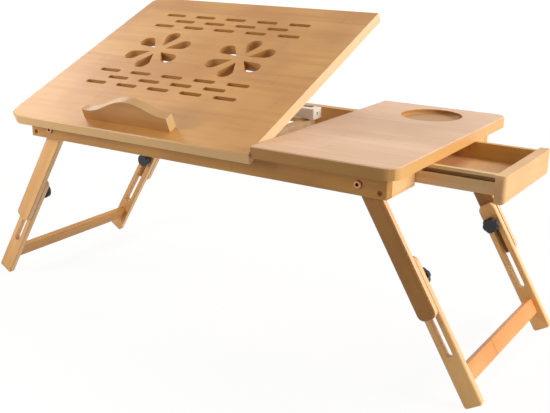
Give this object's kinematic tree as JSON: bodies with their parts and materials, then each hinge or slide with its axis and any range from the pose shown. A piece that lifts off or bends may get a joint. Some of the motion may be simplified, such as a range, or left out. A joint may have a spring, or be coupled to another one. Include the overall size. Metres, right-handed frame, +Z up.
{
  "type": "laptop stand with drawer",
  "caption": "Folding wooden laptop stand: split top with a vented tilting panel and book stop, a fixed side with cup recess and drawer, and splayed telescopic legs clamped by knobs.",
  "frame": {"origin": "on the ground, under the middle of the table top", "axes": "+Z up, +X toward the drawer end, +Y to the rear, away from the user"},
  "size_m": [0.669, 0.3028, 0.3455],
  "materials": {
    "top_wood": "satin clear lacquer",
    "frame_wood": "satin clear lacquer",
    "leg_wood": "satin clear lacquer",
    "light_wood": "bare sanded",
    "black_plastic": "moulded, fine matt",
    "white_plastic": "moulded, smooth",
    "steel": "zinc plated",
    "brass": "turned",
    "dark_steel": "blackened",
    "magnet": "sintered, dull"
  },
  "bodies": {
    "base": {"fixed_top_panel": "top_wood", "front_rail": "frame_wood", "rear_rail": "frame_wood", "left_end_rail": "frame_wood", "right_end_rail_front": "frame_wood", "right_end_rail_rear": "frame_wood", "divider_rail": "frame_wood", "drawer_guide_front": "light_wood", "drawer_guide_rear": "light_wood", "frame_screws": "dark_steel", "panel_dowels": "light_wood", "pivot_bolts": "brass", "pivot_washers": "steel", "pivot_nuts": "steel", "hinge_lower_leaves": "steel", "hinge_pins": "steel", "prop_rack_left": "light_wood", "prop_rack_right": "light_wood", "rack_slats": "light_wood", "catch_body": "white_plastic", "catch_magnet": "magnet", "catch_screws": "steel"},
    "tilt": {"tilt_panel": "top_wood", "book_stop": "top_wood", "stop_dowels": "light_wood", "hinge_upper_leaves": "steel", "prop_pivot_blocks": "light_wood", "prop_pins": "steel", "catch_strike": "steel"},
    "prop": {"prop_arm_left": "frame_wood", "prop_arm_right": "frame_wood", "prop_crossbar": "steel"},
    "right_upper": {"right_upper_leg_front": "leg_wood", "right_upper_leg_rear": "leg_wood", "right_leg_inserts": "brass"},
    "right_lower": {"right_lower_leg_front": "leg_wood", "right_lower_leg_rear": "leg_wood", "right_brace": "leg_wood"},
    "knob_right_front": {"knob_handle_right_front": "black_plastic", "knob_stud_right_front": "steel"},
    "knob_right_rear": {"knob_handle_right_rear": "black_plastic", "knob_stud_right_rear": "steel"},
    "left_upper": {"left_upper_leg_front": "leg_wood", "left_upper_leg_rear": "leg_wood", "left_leg_inserts": "brass"},
    "left_lower": {"left_lower_leg_front": "leg_wood", "left_lower_leg_rear": "leg_wood", "left_brace": "leg_wood"},
    "knob_left_front": {"knob_handle_left_front": "black_plastic", "knob_stud_left_front": "steel"},
    "knob_left_rear": {"knob_handle_left_rear": "black_plastic", "knob_stud_left_rear": "steel"},
    "drawer": {"drawer_back": "frame_wood", "drawer_floor": "light_wood", "drawer_front": "frame_wood", "drawer_pins": "light_wood", "drawer_side_front": "frame_wood", "drawer_side_rear": "frame_wood"}
  },
  "joints": [
    {"name": "panel_tilt", "type": "hinge", "parent": "base", "child": "tilt", "pos_m": [0, -0.132, 0.2247], "axis": [1, 0, 0], "range_deg": [-22.95, 10.5]},
    {"name": "prop_fold", "type": "hinge", "parent": "tilt", "child": "prop", "pos_m": [0, 0.02996, 0.27824], "axis": [1, 0, 0], "range_deg": [-16.07, 7.36]},
    {"name": "right_leg_fold", "type": "hinge", "parent": "base", "child": "right_upper", "pos_m": [0.2036, 0, 0.2117], "axis": [0, -1, 0], "range_deg": [-112.72, 0]},
    {"name": "right_leg_extend", "type": "slide", "parent": "right_upper", "child": "right_lower", "axis": [0.5108, 0, -0.8597], "range_m": [-0.075, 0]},
    {"name": "knob_right_front_turn", "type": "hinge", "parent": "right_upper", "child": "knob_right_front", "pos_m": [0.25877, -0.1032, 0.11885], "axis": [0, -1, 0], "range_deg": [0, 360]},
    {"name": "knob_right_rear_turn", "type": "hinge", "parent": "right_upper", "child": "knob_right_rear", "pos_m": [0.25877, 0.1032, 0.11885], "axis": [0, 1, 0], "range_deg": [0, 360]},
    {"name": "left_leg_fold", "type": "hinge", "parent": "base", "child": "left_upper", "pos_m": [-0.2036, 0, 0.2117], "axis": [0, 1, 0], "range_deg": [-112.72, 0]},
    {"name": "left_leg_extend", "type": "slide", "parent": "left_upper", "child": "left_lower", "axis": [-0.5108, 0, -0.8597], "range_m": [-0.075, 0]},
    {"name": "knob_left_front_turn", "type": "hinge", "parent": "left_upper", "child": "knob_left_front", "pos_m": [-0.25877, -0.1032, 0.11885], "axis": [0, -1, 0], "range_deg": [0, 360]},
    {"name": "knob_left_rear_turn", "type": "hinge", "parent": "left_upper", "child": "knob_left_rear", "pos_m": [-0.25877, 0.1032, 0.11885], "axis": [0, 1, 0], "range_deg": [0, 360]},
    {"name": "drawer_slide", "type": "slide", "parent": "base", "child": "drawer", "axis": [1, 0, 0], "range_m": [-0.081, 0.02]}
  ],
  "couplings": [
    {"joint": "prop_fold", "follows": "panel_tilt", "ratio": 0.69945}
  ]
}
